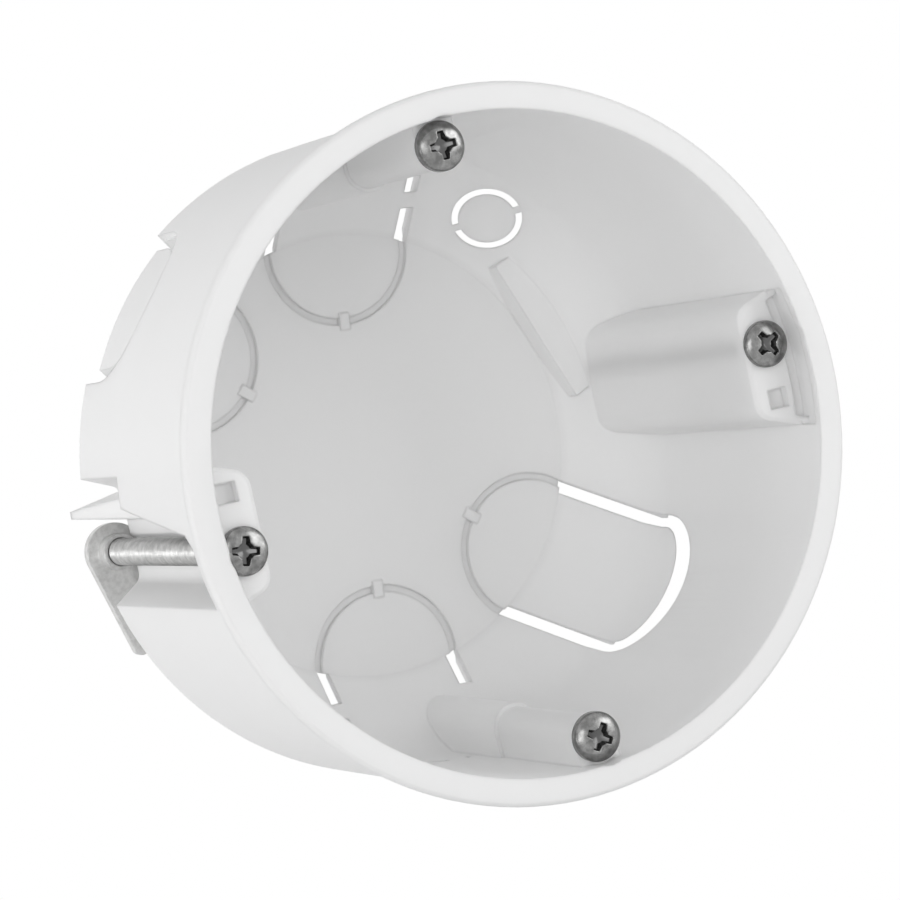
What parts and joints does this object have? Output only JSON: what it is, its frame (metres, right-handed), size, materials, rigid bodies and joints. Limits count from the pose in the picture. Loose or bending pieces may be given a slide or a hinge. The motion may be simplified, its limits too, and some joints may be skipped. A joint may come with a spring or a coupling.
{
  "type": "drywall back box",
  "caption": "Round back box for a hollow wall, with bent cable knockouts, screws for the device frame and swing-out clamping claws.",
  "frame": {"origin": "on the cup's axis, in the plane of the flange's back face, which lies on the board", "axes": "+Y from the open front into the wall, +Z through the upper device screw, +X towards the claw on the right as seen from the front"},
  "size_m": [0.0708, 0.045, 0.0708],
  "materials": {
    "body": "satin",
    "screws": "zinc plated",
    "claws": "zinc plated"
  },
  "bodies": {
    "box": {"box_body": "body"},
    "device_screw_top": {"device_screw_top": "screws"},
    "device_screw_bottom": {"device_screw_bottom": "screws"},
    "claw_screw_right": {"claw_screw_right": "screws"},
    "claw_screw_left": {"claw_screw_left": "screws"},
    "claw_right": {"claw_right": "claws"},
    "claw_left": {"claw_left": "claws"}
  },
  "joints": [
    {"name": "device_screw_top_out", "type": "slide", "parent": "box", "child": "device_screw_top", "axis": [0, -1, 0], "range_m": [0, 0.018]},
    {"name": "device_screw_bottom_out", "type": "slide", "parent": "box", "child": "device_screw_bottom", "axis": [0, -1, 0], "range_m": [0, 0.018]},
    {"name": "claw_screw_right_turn", "type": "hinge", "parent": "box", "child": "claw_screw_right", "pos_m": [0.02995, 0.0027, 0.00225], "axis": [0, 1, 0], "continuous": true},
    {"name": "claw_screw_left_turn", "type": "hinge", "parent": "box", "child": "claw_screw_left", "pos_m": [-0.02995, 0.0027, -0.00225], "axis": [0, 1, 0], "continuous": true},
    {"name": "claw_right_swing", "type": "hinge", "parent": "box", "child": "claw_right", "pos_m": [0.02995, 0.042, 0.00225], "axis": [0, 1, 0], "range_deg": [0, 90]},
    {"name": "claw_left_swing", "type": "hinge", "parent": "box", "child": "claw_left", "pos_m": [-0.02995, 0.042, -0.00225], "axis": [0, 1, 0], "range_deg": [0, 90]}
  ]
}
